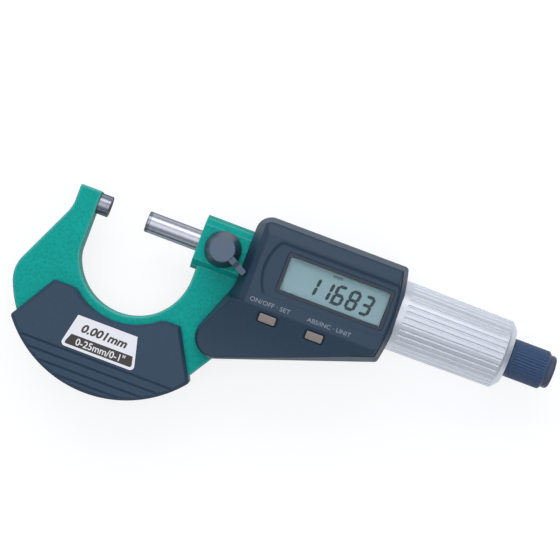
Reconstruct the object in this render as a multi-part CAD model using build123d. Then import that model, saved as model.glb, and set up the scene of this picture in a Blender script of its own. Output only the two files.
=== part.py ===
from build123d import *
import os
from math import asin, atan, cos, degrees, pi, radians, sin, sqrt

# Digital outside micrometer, 0 to 25 mm, lying on its back.
# The origin is the centre of the anvil's measuring face. +X runs along the measuring axis to the
# ratchet, +Y to the display's top edge and +Z out of the display. Lengths are in millimetres.

# Fits and clearances
running_clearance = 0.03
fit_clearance = 0.05
free_clearance = 0.35
shell_clearance = 0.1

# Measuring faces and spindle
reading = 11.683
measuring_range = 25.0
face_radius = 6.35 / 2
tip_length = 1.0
anvil_shank_radius = 2.4
anvil_shank_wall = 2.0
edge_break = 0.2

# Frame, seen from the front
frame_thickness = 9.0
frame_edge_radius = 0.9
rim_end = 46.0
throat_centre = (13.1, -11.3)
throat_radius = 17.2
anvil_arm_front = -3.6
anvil_arm_back = -10.3
anvil_arm_top = 3.6
anvil_arm_corner = 0.6
anvil_arm_shoulder = -3.6
anvil_arm_lean = (-0.417, -0.909)
bow_centre = (12.4, -18.3)
bow_radius = 34.0
cheek_radius = 10.0
frame_heel = (40.0, -20.0)
frame_hip = (44.8, -30.5)
frame_waist = 48.0
throat_blend = 10.0
boss_left = 28.4
boss_radius = 8.36
boss_flat_height = 6.4
boss_length = 21.6
carrier_left = 59.0
carrier_length = 5.5
bridge_width = 5.0
encoder_sag = 1.5

# Spindle guide, sleeve and feed
bush_wall = 1.3
sleeve_radius = 5.0
sleeve_flange_radius = 6.0
sleeve_flange_length = 1.5
sleeve_bore_radius = 4.0
sleeve_length = 35.0
thread_radius = 3.6
nut_zone_length = 10.0
nut_radius = 6.4
nut_length = 5.0
nut_inset = 0.6
nut_slot_width = 1.4
nut_slot_depth = 0.8
slit_width = 0.8
spindle_plain_end = 71.0
thread_length = 35.0
spindle_end = 123.0
spindle_seat_radius = 3.0

# Encoder
encoder_radius = 8.6
encoder_board_thickness = 0.8
encoder_gap = 0.5
hub_radius = 5.6
hub_spigot = 1.2
key_width = 1.2
key_cover = 0.5
keyway_depth = 0.9
keyway_room = 1.0

# Thimble
thimble_left = 76.8
thimble_right = 126.3
thimble_radius = 10.75
thimble_end_radius = 10.45
thimble_bore_radius = 9.4
thimble_end_wall = 8.0
thimble_rim = 2.1
thimble_rim_edge = 0.5
flute_count = 36
flute_radius = 0.4
flute_depth = 0.3
flute_left = 92.9
flute_right = 124.0
collar_length = 5.0
collar_radius = 5.0
collar_taper = 0.4

# Ratchet
stem_radius = 2.0
stem_flange_radius = 4.5
stem_flange_length = 4.6
stem_screw_depth = 6.0
stem_screw_radius = 1.5
stem_end_inset = 0.6
stem_screw_room = 0.5
tooth_root_radius = 2.6
tooth_count = 24
tooth_height = 0.5
ring_length = 2.6
ring_lug_width = 1.6
ring_lug_height = 0.6
spring_wire_radius = 0.3
spring_coil_radius = 3.1
spring_turns = 4
knob_left = 126.6
knob_length = 11.9
knob_radius = 5.9
knob_groove_count = 40
knob_groove_depth = 0.25
knob_end_wall = 1.5
knob_edge = 0.6
knob_groove_inset = 1.0
knob_recess_depth = 1.6
knob_recess_radius = 4.2
cap_radius = 5.0
cap_length = 2.1
clip_thickness = 0.4
clip_seat = 0.4
clip_rim = 1.2
cap_rounding = 0.9
cap_skirt_room = 0.8

# Spindle lock
lock_x = 36.0
lever_base_radius = 5.5
lever_top_radius = 3.8
lever_height = 8.3
lever_lift = 0.15
lever_length = 9.6
lever_width = 2.3
lever_tip_width = 1.8
lever_thickness = 1.5
lever_angle = -28.0
lever_foot = 1.2
lever_rounding = 0.4
lever_notch = 1.2
stud_radius = 1.6
pad_length = 1.6
pad_gap = 0.15

# Display housing
housing_left = 43.0
housing_right = 91.3
housing_top = 14.18
housing_back = -13.0
housing_tail_corner = (32.4, -35.4)
housing_tail_end = -15.1
housing_waist = -8.5
housing_bow_top = 2.2
housing_bow_low = 1.4
housing_bow_middle = 0.5
housing_top_corner = 4.8
housing_right_corner = 1.2
housing_tail_radius = 6.3
housing_waist_radius = 12.0
face_height = 14.6
flank_width = 1.6
flank_height = 5.0
rear_flank = 2.0
tunnel_radius = 11.25
tunnel_left = 64.7
plateau_left = 45.4
plateau_top = 12.5
plateau_bottom = -12.0
plateau_left_slope = 1.8
plateau_top_slope = 3.4
plateau_right_slope = 0.6
plateau_ledge = 0.3
bevel_drop = 6.6
fall_angle = 25.0
fall_radius = 62.0
recess_depth = 0.6
recess_draft = 0.8
recess_top = 7.6
recess_bottom = -7.6
recess_left = 52.0
recess_bow = 2.3
recess_corner = 1.4
housing_screw_radius = 1.0
housing_screw_head = 1.2
housing_screw_end = 8.0
housing_screw_room = 0.5
housing_screw_sink = 0.3
housing_slot_length = 2.4
housing_slot_width = 0.35
housing_slot_depth = 0.5
housing_screw_places = ((54.5, 11.7), (62.0, 11.7), (42.0, -25.5), (84.0, -14.1))

# Display and electronics
window_left = 55.5
window_width = 31.3
window_height = 10.6
window_thickness = 0.75
window_rim = 0.8
lcd_border = 1.2
lcd_thickness = 1.35
window_gap = 0.7
board_gap = 0.4
board_thickness = 0.8
zebra_height = 0.5
zebra_width = 1.6
board_headroom = 0.75
board_centre = 68.3
board_length = 40.4
board_width = 22.4
tab_centre = 62.5
tab_length = 25.0
tab_low = -17.0
chip_centre = (63.5, -14.4)
chip_side = (5.0, 4.0)
part_length = 1.6
part_width = 1.0
part_height = 0.3
chip_height = 1.3
button_row = -14.6
button_places = (55.4, 70.0)
button_length = 5.1
button_width = 2.4
button_rise = 0.3
button_travel = 0.3
button_flange = 0.5
dome_height = 0.5
dome_radius = 0.9
dome_foot_length = 4.0
dome_foot_width = 2.4
dome_foot_corner = 0.4
button_dish = 0.5
button_dish_depth = 0.3
button_corner = 0.4
button_rounding = 0.25

# Stack of the display over the thimble's tunnel; it gives the plateau its height
board_back = tunnel_radius + board_gap
lcd_bottom = board_back + board_thickness + zebra_height
window_bottom = lcd_bottom + lcd_thickness + window_gap
recess_floor = window_bottom + window_thickness + fit_clearance
plateau_height = recess_floor + recess_depth

# Battery
battery_place = (52.5, -18.6)
battery_radius = 5.8
battery_height = 5.4
battery_room = 0.9
battery_rim = 0.6
contact_thickness = 0.2
contact_minus_length = 6.0
contact_minus_width = 3.0
contact_plus_width = 2.0
contact_plus_inset = 1.0
seal_width = 0.8
seal_depth = 0.5
cap_head_radius = 6.9
cap_head_thickness = 1.5
cap_boss_height = 0.6
coin_slot_width = 1.4
coin_slot_depth = 0.7
coin_slot_inset = 1.2

# Grip plates and label
grip_height = 7.0
grip_top = -25.75
grip_top_ends = (-7.6, 32.2)
grip_left_lean = (-0.515, -0.857)
grip_right_lean = (0.486, -0.874)
grip_bow_radius = 35.8
grip_hollow_radius = 19.8
grip_corner = 0.9
grip_hollow_corner = 4.0
grip_rim = 0.9
groove_rows = (-44.5, -47.2, -49.9, -52.4)
groove_depth = 0.45
groove_radius = 0.8
label_top = -33.0
label_bottom = -43.0
label_top_ends = (2.8, 21.5)
label_bottom_ends = (0.6, 24.0)
label_thickness = 0.3
label_corner = 1.2
grip_screw_places = ((-7.0, -33.0), (33.5, -33.5))
screw_radius = 1.5
screw_head_radius = 2.7
screw_head_height = 1.6
screw_head_sink = 0.2
screw_cover = 1.2
screw_slot_width = 0.7
screw_slot_depth = 0.7


def turned(*points):
    """Solid of revolution about the measuring axis, from (x, radius) points of its half section."""
    return revolve(make_face(Polyline(*points, close=True)), Axis.X)


def tube(left, right, outer, bore):
    """Plain ring about the measuring axis."""
    return turned((left, bore), (right, bore), (right, outer), (left, outer))


def rod(left, right, radius):
    """Plain cylinder on the measuring axis."""
    return turned((left, 0), (right, 0), (right, radius), (left, radius))


def post(place, bottom, top, radius):
    """Upright cylinder at a place on the XY plane."""
    return Pos(place[0], place[1], bottom) * extrude(Circle(radius), top - bottom)


def block(left, right, low, high, bottom, top):
    """Rectangular solid between three pairs of limits."""
    centre = ((left + right) / 2, (low + high) / 2, (bottom + top) / 2)
    return Pos(*centre) * Box(right - left, high - low, top - bottom)


def sheet(left, right, low, high, level):
    """Flat rectangle at one level."""
    return Pos((left + right) / 2, (low + high) / 2, level) * Rectangle(right - left, high - low)


def prism(sketch, bottom, top):
    """Upright solid over a sketch on the XY plane."""
    return Pos(0, 0, bottom) * extrude(sketch, top - bottom)


def on_circle(centre, radius, start, direction):
    """Point where a ray from inside a circle meets it."""
    x, y = start[0] - centre[0], start[1] - centre[1]
    length = sqrt(direction[0] ** 2 + direction[1] ** 2)
    run, rise = direction[0] / length, direction[1] / length
    along = x * run + y * rise
    reach = sqrt(along**2 - x**2 - y**2 + radius**2) - along
    return start[0] + run * reach, start[1] + rise * reach


# Frame: one iron casting with the anvil's arm, the throat, the spindle's boss and the carrier
def frame_outline():
    centre_x, centre_y = throat_centre
    throat_right = centre_x + throat_radius
    arm_meets_throat = centre_y - sqrt(throat_radius**2 - (centre_x - anvil_arm_front) ** 2)
    carrier_right = carrier_left + carrier_length
    bridge_low = -boss_radius - bridge_width
    shoulder = (anvil_arm_back, anvil_arm_shoulder)
    cheek = on_circle(bow_centre, bow_radius, shoulder, anvil_arm_lean)
    heel = on_circle(bow_centre, bow_radius, frame_heel, (0, -1))
    with BuildSketch() as sketch:
        with BuildLine():
            ThreePointArc(cheek, (bow_centre[0], bow_centre[1] - bow_radius), heel)
            Polyline(heel, frame_hip, (frame_waist, bridge_low), (carrier_right, bridge_low),
                     (carrier_right, 0), (throat_right, 0), (throat_right, centre_y))
            ThreePointArc((throat_right, centre_y), (centre_x, centre_y - throat_radius),
                          (anvil_arm_front, arm_meets_throat))
            Polyline((anvil_arm_front, arm_meets_throat), (anvil_arm_front, anvil_arm_top),
                     (anvil_arm_back, anvil_arm_top), shoulder, cheek)
        make_face()
        spots = sketch.vertices()
        fillet(spots.filter_by(lambda spot: spot.Y > anvil_arm_top - 0.1), anvil_arm_corner)
        left_spots = sketch.vertices().filter_by(lambda spot: spot.X < anvil_arm_back + 0.1 and spot.Y < 0)
        fillet(left_spots, cheek_radius)
        fillet(sketch.vertices().filter_by_position(Axis.X, anvil_arm_front - 0.1, anvil_arm_front + 0.1)
               .sort_by(Axis.Y)[0], throat_blend)
    return sketch.sketch


def frame_plate(grow=0.0):
    """The casting's flat C, or the room that the housing and grips leave for it."""
    outline = offset(frame_outline(), grow) if grow else frame_outline()
    half = frame_thickness / 2 + grow
    return prism(outline, -half, half)


def encoder_window():
    """Gap in the casting between boss and carrier, in which the encoder turns."""
    return block(boss_left + boss_length, carrier_left, -boss_radius - encoder_sag,
                 boss_radius * 2, -boss_radius, boss_radius)


def boss_barrel(grow=0.0):
    barrel = rod(boss_left, boss_left + boss_length, boss_radius + grow)
    flat = boss_flat_height + grow
    return barrel - block(boss_left - 1, carrier_left, -boss_radius * 2, boss_radius * 2,
                          flat, boss_radius * 2)


def frame():
    plate = frame_plate()
    rims = plate.edges().filter_by(Plane.XY).filter_by(lambda edge: edge.center().X < rim_end)
    plate = fillet(rims, frame_edge_radius)
    carrier = rod(carrier_left, carrier_left + carrier_length, boss_radius)
    body = plate + boss_barrel() + carrier
    body -= encoder_window()
    bush_radius = face_radius + bush_wall
    body -= rod(boss_left - 1, boss_left + boss_length + 1, bush_radius)
    body -= rod(carrier_left - 1, carrier_left + carrier_length + 1, sleeve_radius)
    body -= rod(carrier_left + carrier_length - sleeve_flange_length, tunnel_left + 1, sleeve_flange_radius)
    body -= rod(anvil_arm_back + anvil_shank_wall, anvil_arm_front + 1, anvil_shank_radius)
    body -= post((lock_x, 0), 0, boss_radius, stud_radius + running_clearance)
    for place in grip_screw_places:
        body -= post(place, -frame_thickness, frame_thickness, screw_radius + shell_clearance)
    clamp = housing_screw_places[2]
    return body - post(clamp, -frame_thickness, frame_thickness, housing_screw_radius + shell_clearance)


def anvil():
    shank_end = anvil_arm_back + anvil_shank_wall + shell_clearance
    return turned((shank_end, 0), (-tip_length, 0), (-tip_length, face_radius),
                  (anvil_arm_front, face_radius), (anvil_arm_front, anvil_shank_radius),
                  (shank_end, anvil_shank_radius))


def tip(left, outward):
    """Carbide facing, with its sharp edge broken on the measuring side."""
    right = left + tip_length
    if outward > 0:
        return turned((left, 0), (right, 0), (right, face_radius - edge_break),
                      (right - edge_break, face_radius), (left, face_radius))
    return turned((left, 0), (right, 0), (right, face_radius), (left + edge_break, face_radius),
                  (left, face_radius - edge_break))


def spindle_bush():
    bore = face_radius + running_clearance
    bush = tube(boss_left, boss_left + boss_length, face_radius + bush_wall, bore)
    return bush - post((lock_x, 0), 0, boss_radius, stud_radius + running_clearance)


# Grip plates: one moulded plate on each side, meeting outside the frame's lower edge
def grip_outline():
    centre_x, centre_y = throat_centre
    left_top, right_top = (grip_top_ends[0], grip_top), (grip_top_ends[1], grip_top)
    half = sqrt(grip_hollow_radius**2 - (grip_top - centre_y) ** 2)
    left_foot = on_circle(bow_centre, grip_bow_radius, left_top, grip_left_lean)
    right_foot = on_circle(bow_centre, grip_bow_radius, right_top, grip_right_lean)
    with BuildSketch() as sketch:
        with BuildLine():
            ThreePointArc(left_foot, (bow_centre[0], bow_centre[1] - grip_bow_radius), right_foot)
            Polyline(right_foot, right_top, (centre_x + half, grip_top))
            ThreePointArc((centre_x + half, grip_top), (centre_x, centre_y - grip_hollow_radius),
                          (centre_x - half, grip_top))
            Polyline((centre_x - half, grip_top), left_top, left_foot)
        make_face()
        spots = sketch.vertices()
        fillet(spots.filter_by(lambda spot: abs(spot.X - centre_x) > half + 0.1), grip_corner)
        spots = sketch.vertices()
        fillet(spots.filter_by(lambda spot: abs(abs(spot.X - centre_x) - half) < 0.1), grip_hollow_corner)
    return sketch.sketch


def grip_plate(side):
    """One plate, front where side is 1 and rear where it is -1."""
    outline = grip_outline()
    plate = prism(outline, 0, grip_height)
    rim = plate.faces().sort_by(Axis.Z)[-1].edges()
    plate = chamfer(rim, grip_rim)
    low, high = outline.bounding_box().min, outline.bounding_box().max
    for row in groove_rows:
        centre = grip_height + groove_radius - groove_depth
        plate -= Pos((low.X + high.X) / 2, row, centre) * Rot(0, 90, 0) * Cylinder(
            groove_radius, high.X - low.X)
    plate = plate if side > 0 else mirror(plate, Plane.XY)
    return plate - frame_plate(shell_clearance / 2)


def label_sketch():
    with BuildSketch() as sketch:
        with BuildLine():
            Polyline((label_top_ends[0], label_top), (label_top_ends[1], label_top),
                     (label_bottom_ends[1], label_bottom), (label_bottom_ends[0], label_bottom),
                     close=True)
        make_face()
        fillet(sketch.vertices().group_by(Axis.Y)[0], label_corner)
    return sketch.sketch


def grip_front():
    plate = grip_plate(1)
    plate -= prism(offset(label_sketch(), fit_clearance), grip_height - label_thickness / 2, grip_height + 1)
    for place in grip_screw_places:
        plate -= post(place, 0, grip_height - screw_cover, screw_radius)
    return plate


def grip_rear():
    plate = grip_plate(-1)
    for place in grip_screw_places:
        plate -= post(place, -grip_height, 0, screw_radius + shell_clearance)
        plate -= post(place, -grip_height, screw_head_sink + screw_head_height - grip_height,
                      screw_head_radius + shell_clearance)
    return plate


def grip_screws():
    """Two screws from the rear plate through the casting into the front plate."""
    screws = []
    for x, y in grip_screw_places:
        head = screw_head_sink - grip_height
        shank = post((x, y), head, grip_height - screw_cover - shell_clearance, screw_radius)
        screw = shank + post((x, y), head, head + screw_head_height, screw_head_radius)
        slot = block(x - screw_head_radius, x + screw_head_radius, y - screw_slot_width / 2,
                     y + screw_slot_width / 2, head, head + screw_slot_depth)
        screws.append(screw - slot)
    return Compound(children=screws)


def range_label():
    base = grip_height - label_thickness / 2
    return prism(label_sketch(), base, base + label_thickness)


# Spindle lock: knob with a short lever on a threaded stud, which presses a pad on the spindle
def lock_lever():
    base = boss_flat_height + lever_lift
    top = boss_flat_height + lever_height
    foot = base + lever_foot
    half_section = make_face(Polyline(
        (0, base), (lever_base_radius, base), (lever_base_radius, foot), (lever_top_radius, top), (0, top),
        close=True))
    knob = revolve(Plane.XZ * half_section, Axis.Z)
    knob = fillet(knob.edges().sort_by(Axis.Z)[-1], lever_rounding)
    arm = make_face(Polyline((0, -lever_width / 2), (lever_length, -lever_tip_width / 2),
                             (lever_length, lever_tip_width / 2), (0, lever_width / 2), close=True))
    arm = fillet(arm.vertices().group_by(Axis.X)[-1], lever_rounding)
    arm = prism(arm, top - lever_thickness, top - lever_rounding / 2)
    notch = block(lever_base_radius, lever_base_radius + lever_notch, -lever_width, lever_width,
                  top - lever_thickness / 2, top + 1)
    body = knob + (arm - notch)
    body -= post((0, 0), base - 1, top - lever_thickness, stud_radius)
    return Pos(lock_x, 0, 0) * Rot(0, 0, lever_angle) * body


def lock_stud():
    return post((lock_x, 0), face_radius + pad_gap + pad_length,
                boss_flat_height + lever_height - lever_thickness - shell_clearance, stud_radius)


def lock_pad():
    return post((lock_x, 0), face_radius + pad_gap, face_radius + pad_gap + pad_length, stud_radius)


# Display housing: two moulded shells that clamp the casting's rear part
def housing_outline():
    left, right, top = housing_left, housing_right, housing_top
    upper, lower = (right - housing_bow_top, top), (right - housing_bow_low, housing_tail_end)
    with BuildSketch() as sketch:
        with BuildLine():
            ThreePointArc(lower, (right, housing_bow_middle), upper)
            Polyline(upper, (left, top), (left, housing_waist), housing_tail_corner, lower)
        make_face()
        spots = sketch.vertices()
        fillet(spots.filter_by(lambda spot: spot.X > left + 1), housing_right_corner)
        spots = sketch.vertices()
        fillet(spots.filter_by(lambda spot: spot.X < left - 1), housing_tail_radius)
        spots = sketch.vertices()
        fillet(spots.filter_by(lambda spot: abs(spot.Y - housing_waist) < 0.1), housing_waist_radius)
        spots = sketch.vertices()
        fillet(spots.filter_by(lambda spot: abs(spot.X - left) + abs(spot.Y - top) < 0.1),
               housing_top_corner)
    return sketch.sketch


def sloped_pad(sketch, height, inset):
    """Upright pad whose sides lean inwards by the inset over its height."""
    return extrude(sketch, height, taper=degrees(atan(inset / height)))


def housing_blank(edge_width, edge_height, height):
    """Outer form of one shell, from the parting plane to the face, with its leaning edge."""
    straight = height - edge_height
    outline = housing_outline()
    return prism(outline, 0, straight) + Pos(0, 0, straight) * sloped_pad(outline, edge_height, edge_width)


def carried_room():
    """Room in both shells for the casting, the encoder and the thimble."""
    gap = shell_clearance
    room = frame_plate(gap) + boss_barrel(gap)
    room += rod(boss_left + boss_length, tunnel_left, encoder_radius + free_clearance * 2)
    return room + rod(tunnel_left, housing_right + 1, tunnel_radius)


def upright_block(left, right, low, high, bottom, top, corner):
    """Upright pocket or plate with rounded corners."""
    base = RectangleRounded(right - left, high - low, corner)
    return Pos((left + right) / 2, (low + high) / 2, bottom) * extrude(base, top - bottom)


def display_limits(margin):
    """Left, right, low and high limits of the display's visible field, grown by a margin."""
    return (window_left - margin, window_left + window_width + margin,
            -window_height / 2 - margin, window_height / 2 + margin)


def board_outline(grow=0.0):
    """Board under the display with a tab under the two keys."""
    main = Pos(board_centre, 0) * Rectangle(board_length + 2 * grow, board_width + 2 * grow)
    tab_top = -board_width / 2
    tab = Pos(tab_centre, (tab_top + tab_low) / 2) * Rectangle(
        tab_length + 2 * grow, tab_top - tab_low + 2 * grow)
    return main + tab


def fall_centre():
    """Y and Z of the axis about which the front's hollow lower face is swept."""
    lean = radians(fall_angle)
    return plateau_bottom - fall_radius * sin(lean), plateau_height + fall_radius * cos(lean)


def fall_lean(y):
    """Lean of the hollow lower face at one row, in radians."""
    return asin((y - fall_centre()[0]) / fall_radius)


def fall_height(y):
    return fall_centre()[1] - fall_radius * cos(fall_lean(y))


def fall_cut():
    """What the hollow lower face takes off the front below the plateau."""
    top, end = plateau_height + 1, housing_tail_corner[1] - 1
    arc = [(row, fall_height(row)) for row in (plateau_bottom, (plateau_bottom + end) / 2, end)]
    with BuildSketch(Plane.YZ) as section:
        with BuildLine():
            ThreePointArc(*arc)
            Polyline(arc[-1], (end, top), (plateau_bottom, top), arc[0])
        make_face()
    left = housing_tail_corner[0] - 1
    return Pos(left, 0, 0) * extrude(section.sketch, housing_right + 1 - left)


def plateau():
    """Raised front with leaning sides, and its shoulder across the waist. A narrow ledge parts it
    from the shell's edge."""
    rise = plateau_height - face_height
    low = fall_centre()[0]
    foot = sheet(plateau_left, housing_right, low, plateau_top, face_height)
    crown = sheet(plateau_left + plateau_left_slope, housing_right, low,
                  plateau_top - plateau_top_slope, plateau_height)
    shoulder = block(housing_tail_corner[0], plateau_left + plateau_left_slope, low, plateau_bottom,
                     face_height, plateau_height)
    limit = offset(housing_outline(), -flank_width - plateau_ledge)
    limit = Pos(0, 0, face_height) * sloped_pad(limit, rise, plateau_right_slope)
    return (loft([foot, crown]) + shoulder) & limit


def left_bevel():
    """What the bevel takes off the front's left edge, down to the shoulder."""
    bevel = degrees(atan((plateau_left - housing_left) / bevel_drop))
    cut = block(-face_height, 0, plateau_bottom, housing_top + 1, -face_height, 1)
    return Pos(plateau_left, 0, face_height) * Rot(0, bevel, 0) * cut


def housing_front():
    body = housing_blank(flank_width, flank_height, face_height)
    body -= left_bevel()
    body += plateau()
    body -= fall_cut()
    body -= display_recess()
    left, right, low, high = display_limits(window_rim + fit_clearance)
    body -= upright_block(left, right, low, high, window_bottom, plateau_height, window_rim)
    left, right, low, high = display_limits(-window_rim / 4)
    body -= block(left, right, low, high, board_back, plateau_height)
    left, right, low, high = display_limits(lcd_border + fit_clearance)
    body -= block(left, right, low, high, board_back, lcd_bottom + lcd_thickness + fit_clearance)
    body -= prism(board_outline(shell_clearance), board_back - fit_clearance,
                  board_back + board_thickness + board_headroom)
    body -= carried_room()
    for x in button_places:
        body -= button_room(x)
    left, right, low, high = chip_limits()
    room = part_length + free_clearance * 2
    body -= block(left - room, right + room, low - free_clearance, high + free_clearance,
                  board_back - chip_height - free_clearance, board_back)
    for place in housing_screw_places:
        body -= post(place, 0, housing_screw_end + housing_screw_room, housing_screw_radius + fit_clearance)
    return body


def display_recess():
    """Shallow panel round the display with leaning walls: a bowed left end, open at the right."""
    with BuildSketch() as sketch:
        with BuildLine():
            Polyline((recess_left, recess_bottom), (housing_right, recess_bottom),
                     (housing_right, recess_top), (recess_left, recess_top))
            ThreePointArc((recess_left, recess_top), (recess_left - recess_bow, 0),
                          (recess_left, recess_bottom))
        make_face()
        fillet(sketch.vertices().group_by(Axis.X)[0], recess_corner)
    height = recess_depth * 2
    walls = sloped_pad(sketch.sketch, height, -recess_draft / recess_depth * height)
    return Pos(0, 0, recess_floor) * walls


def button_room(x):
    """Opening, flange room and shallow dish for one button; the dish lies along the face."""
    half_length, half_width = button_length / 2, button_width / 2
    under_wall = board_back + board_thickness + dome_height + button_travel + button_flange
    gap = shell_clearance
    opening = upright_block(x - half_length - gap, x + half_length + gap, button_row - half_width - gap,
                            button_row + half_width + gap, board_back, plateau_height,
                            button_corner + gap)
    edge = button_flange + 2 * gap
    flange = block(x - half_length - edge, x + half_length + edge, button_row - half_width - edge,
                   button_row + half_width + edge, board_back, under_wall + fit_clearance * 2)
    edge = button_dish
    dish = upright_block(-half_length - edge, half_length + edge, -half_width - edge, half_width + edge,
                         -button_dish_depth, plateau_height - face_height, button_corner + edge)
    return opening + flange + button_seat(x) * dish


def button_seat(x):
    """Place of one button on the hollow lower face, tilted with it."""
    return Pos(x, button_row, fall_height(button_row)) * Rot(degrees(fall_lean(button_row)), 0, 0)


def button(x):
    """Key with its retaining flange, resting just above its switch dome."""
    half_length, half_width = button_length / 2, button_width / 2
    bottom = board_back + board_thickness + dome_height + button_travel + fit_clearance
    key = upright_block(x - half_length, x + half_length, button_row - half_width,
                        button_row + half_width, bottom, plateau_height + button_rise, button_corner)
    above = block(-button_length, button_length, -button_length, button_length, button_rise, face_height)
    key -= button_seat(x) * above
    key = fillet(key.faces().sort_by(Axis.Z)[-1].edges(), button_rounding)
    edge = button_flange
    return key + block(x - half_length - edge, x + half_length + edge, button_row - half_width - edge,
                       button_row + half_width + edge, bottom, bottom + button_flange - fit_clearance)


def housing_rear():
    depth = -housing_back
    body = mirror(housing_blank(rear_flank / 2, rear_flank, depth), Plane.XY)
    body -= carried_room()
    cap_floor = housing_back + cap_head_thickness
    body -= post(battery_place, housing_back - 1, cap_floor, cap_head_radius + fit_clearance)
    body -= post(battery_place, cap_floor - 1, cap_floor + battery_height + battery_room,
                 battery_radius + shell_clearance * 2)
    for place in housing_screw_places:
        body -= post(place, housing_back, 0, housing_screw_radius + fit_clearance)
        body -= post(place, housing_back - 1, housing_back + housing_screw_head + housing_screw_sink,
                     housing_screw_radius * 2 + fit_clearance)
    return body


def housing_screws():
    screws = []
    for x, y in housing_screw_places:
        head = housing_back + housing_screw_sink
        screw = post((x, y), head, housing_screw_end, housing_screw_radius)
        screw += post((x, y), head, head + housing_screw_head, housing_screw_radius * 2)
        for turn in (0, 90):
            slot = Box(housing_slot_length, housing_slot_width, housing_slot_depth * 2)
            screw -= Pos(x, y, head) * Rot(0, 0, turn) * slot
        screws.append(screw)
    return Compound(children=screws)


# Display: glass in a pocket under the clear window, joined to the board by an elastic strip
def display_window():
    return upright_block(*display_limits(window_rim), window_bottom, window_bottom + window_thickness,
                         window_rim)


def lcd_panel():
    return block(*display_limits(lcd_border), lcd_bottom, lcd_bottom + lcd_thickness)


def zebra_strip():
    left, right, low, high = display_limits(0)
    return block(left, right, high - zebra_width, high, lcd_bottom - zebra_height, lcd_bottom)


def circuit_board():
    return prism(board_outline(), board_back, board_back + board_thickness)


def chip_limits():
    """Left, right, low and high limits of the measuring chip under the board's tab."""
    (x, y), (length, width) = chip_centre, chip_side
    return x - length / 2, x + length / 2, y - width / 2, y + width / 2


def board_chips():
    """The measuring chip, with a small part on each side of it at both ends."""
    left, right, low, high = chip_limits()
    chips = [block(left, right, low, high, board_back - chip_height, board_back)]
    for row in (low + part_width, high - part_width):
        for near in (left - free_clearance - part_length, right + free_clearance):
            chips.append(block(near, near + part_length, row - part_width / 2, row + part_width / 2,
                               board_back - part_height, board_back))
    return Compound(children=chips)


def tact_switches():
    """Snap domes on the board under the two keys."""
    bottom = board_back + board_thickness
    domes = []
    for x in button_places:
        foot = upright_block(x - dome_foot_length / 2, x + dome_foot_length / 2,
                             button_row - dome_foot_width / 2, button_row + dome_foot_width / 2,
                             bottom, bottom + dome_height / 2, dome_foot_corner)
        domes.append(foot + post((x, button_row), bottom, bottom + dome_height, dome_radius))
    return Compound(children=domes)


# Encoder: a fixed disc on the boss and a disc that turns with the spindle without travelling
def stator_board():
    left = boss_left + boss_length
    return tube(left, left + encoder_board_thickness, encoder_radius, face_radius + free_clearance * 2)


def rotor_left():
    return boss_left + boss_length + encoder_board_thickness + encoder_gap


def rotor_disc():
    left = rotor_left()
    return tube(left, left + encoder_board_thickness, encoder_radius, hub_radius - hub_spigot)


def rotor_hub():
    left = rotor_left()
    shoulder = left + encoder_board_thickness
    right = carrier_left - shell_clearance
    bore = face_radius + running_clearance
    hub = turned((left, bore), (right, bore), (right, hub_radius), (shoulder, hub_radius),
                 (shoulder, hub_radius - hub_spigot), (left, hub_radius - hub_spigot))
    return hub - key_room(shoulder, right)


def key_room(left, right):
    return block(left, right, -key_width / 2, key_width / 2, 0, hub_radius - key_cover)


def drive_key():
    left = rotor_left() + encoder_board_thickness
    right = carrier_left - shell_clearance
    return block(left, right, -key_width / 2, key_width / 2,
                 face_radius - keyway_depth + running_clearance * 2, hub_radius - key_cover)


# Battery in the rear shell, under its coin-slot cap
def battery():
    x, y = battery_place
    bottom = housing_back + cap_head_thickness + cap_boss_height
    body = post((x, y), bottom, bottom + battery_height - battery_rim, battery_radius)
    return body + post((x, y), bottom, bottom + battery_height, battery_radius - battery_rim)


def battery_contact_minus():
    """Leaf on the floor of the battery bay."""
    x, y = battery_place
    top = housing_back + cap_head_thickness + battery_height + battery_room - shell_clearance
    return block(x - contact_minus_length / 2, x + contact_minus_length / 2,
                 y - contact_minus_width / 2, y + contact_minus_width / 2, top - contact_thickness, top)


def battery_contact_plus():
    """Leaf on the wall of the battery bay."""
    x, y = battery_place
    bottom = housing_back + cap_head_thickness + contact_plus_inset
    left = x - battery_radius - shell_clearance * 2
    leaf = block(left, x, y - contact_plus_width / 2, y + contact_plus_width / 2, bottom,
                 bottom + battery_height - contact_plus_inset)
    outer = battery_radius + shell_clearance * 2 - running_clearance
    return leaf & (post((x, y), bottom, bottom + battery_height, outer)
                   - post((x, y), bottom - 1, bottom + battery_height + 1, battery_radius + fit_clearance))


def battery_cap():
    floor = housing_back + cap_head_thickness
    x, y = battery_place
    cap = post((x, y), housing_back, floor, cap_head_radius)
    cap += post((x, y), floor, floor + cap_boss_height, battery_radius - shell_clearance * 4)
    reach = cap_head_radius - coin_slot_inset
    slot = block(x - reach, x + reach, y - coin_slot_width / 2, y + coin_slot_width / 2,
                 housing_back, housing_back + coin_slot_depth)
    return cap - slot - battery_seal()


def battery_seal():
    """Flat ring in the groove under the cap's head."""
    floor = housing_back + cap_head_thickness
    outer = cap_head_radius - seal_width
    ring = post(battery_place, floor - seal_depth, floor, outer)
    return ring - post(battery_place, floor - seal_depth, floor, outer - seal_width)


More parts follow.
